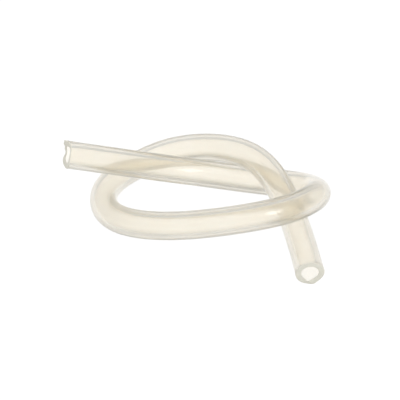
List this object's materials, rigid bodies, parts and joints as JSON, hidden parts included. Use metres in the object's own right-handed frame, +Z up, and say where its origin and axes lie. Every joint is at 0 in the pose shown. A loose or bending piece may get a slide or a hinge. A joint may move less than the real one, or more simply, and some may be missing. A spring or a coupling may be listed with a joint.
{
  "type": "silicone tubing",
  "caption": "Short length of soft, translucent, thick-walled tubing tied in a loose overhand knot, lying on a surface, with both ends cut open.",
  "frame": {"origin": "on the surface the tube lies on, under the middle of its bounding box", "axes": "+X to the viewer's right along the knot's length, +Y away from the viewer, +Z up"},
  "size_m": [0.095, 0.0764, 0.0266],
  "materials": {
    "silicone": "smooth, milky and translucent, warm cream, soft gloss"
  },
  "bodies": {
    "root": {"silicone_tube": "silicone"}
  },
  "joints": []
}
